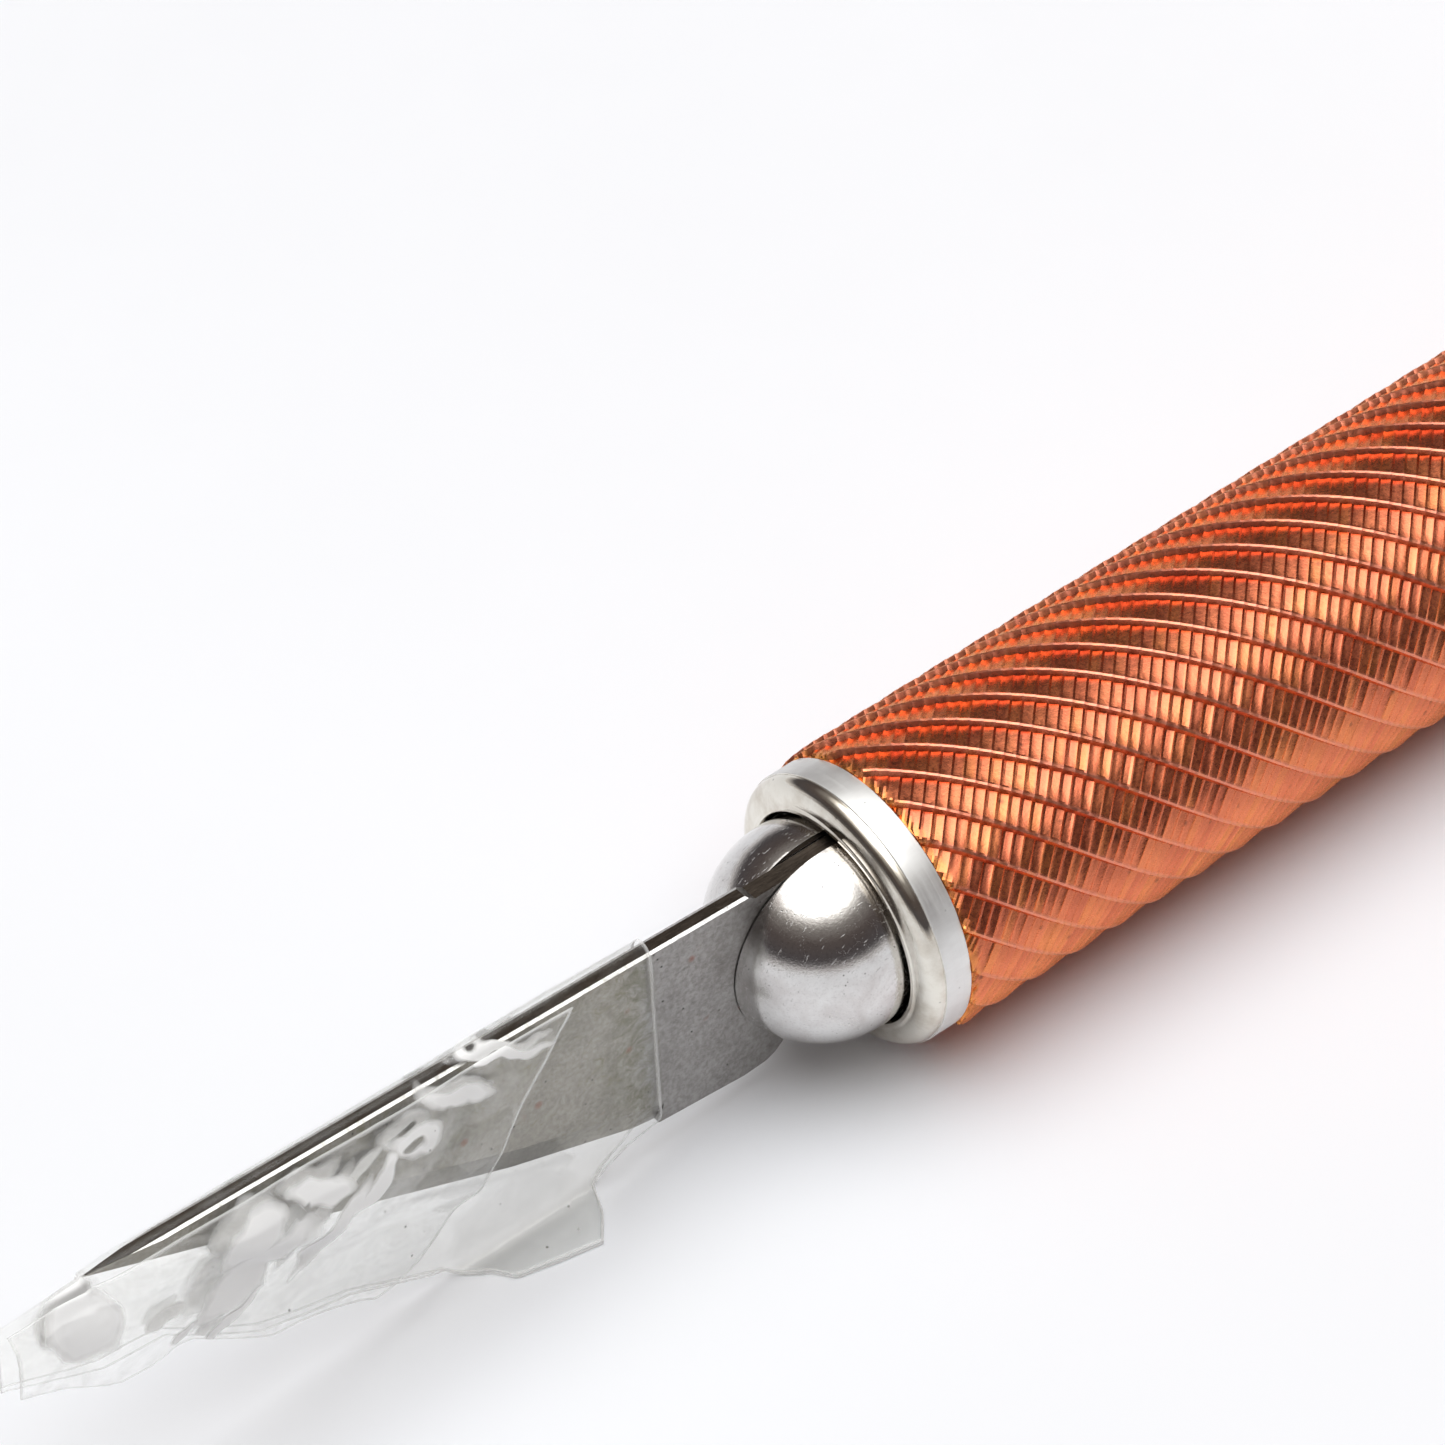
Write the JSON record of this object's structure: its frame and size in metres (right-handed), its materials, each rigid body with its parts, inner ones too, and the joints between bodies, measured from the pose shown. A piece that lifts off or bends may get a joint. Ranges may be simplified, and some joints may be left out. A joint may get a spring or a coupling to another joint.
{
  "type": "hobby craft knife",
  "caption": "Slim hobby craft knife: knurled copper-coloured grip, bright domed collet nose, pointed blade under clear tape, smooth round barrel.",
  "frame": {"origin": "on the handle's axis, at the front face of the knurled grip", "axes": "+X along the axis from the nose to the rear of the handle, +Z towards the blade's spine, +Y to the right jaw's side"},
  "size_m": [0.143, 0.008, 0.008],
  "materials": {
    "blade_steel": "satin ground",
    "clear_tape": "clear film",
    "collet_metal": "polished",
    "collar_metal": "turned bright",
    "copper_knurl": "copper anodised, knurled",
    "copper_satin": "copper anodised, satin",
    "plug_metal": "turned bright",
    "pin_steel": "ground",
    "brass": "turned"
  },
  "bodies": {
    "handle": {"barrel": "copper_satin", "end_plug": "plug_metal", "threaded_insert": "brass", "thrust_washer": "brass"},
    "grip": {"knurled_grip": "copper_knurl", "nose_collar": "collar_metal", "drive_pin": "pin_steel"},
    "collet": {"collet_stem": "collet_metal"},
    "jaw_left": {"collet_jaw_left": "collet_metal"},
    "jaw_right": {"collet_jaw_right": "collet_metal"},
    "blade": {"blade": "blade_steel", "tape_guard": "clear_tape"}
  },
  "joints": [
    {"name": "grip_turn", "type": "hinge", "parent": "handle", "child": "grip", "pos_m": [0, 0, 0], "axis": [-1, 0, 0], "range_deg": [0, 540]},
    {"name": "collet_advance", "type": "slide", "parent": "grip", "child": "collet", "axis": [-1, 0, 0], "range_m": [0, 0.00105]},
    {"name": "jaw_left_open", "type": "hinge", "parent": "collet", "child": "jaw_left", "pos_m": [0.016, -0.00125, 0], "axis": [0, 0, 1], "range_deg": [0, 0.6]},
    {"name": "jaw_right_open", "type": "hinge", "parent": "collet", "child": "jaw_right", "pos_m": [0.016, 0.00125, 0], "axis": [0, 0, -1], "range_deg": [0, 0.6]},
    {"name": "blade_pull", "type": "slide", "parent": "collet", "child": "blade", "axis": [-1, 0, 0], "range_m": [0, 0.02]}
  ],
  "couplings": [
    {"joint": "grip_turn", "follows": "collet_advance", "rad_per_m": 8976},
    {"joint": "jaw_left_open", "follows": "collet_advance", "rad_per_m": 9.97},
    {"joint": "jaw_right_open", "follows": "collet_advance", "rad_per_m": 9.97}
  ]
}
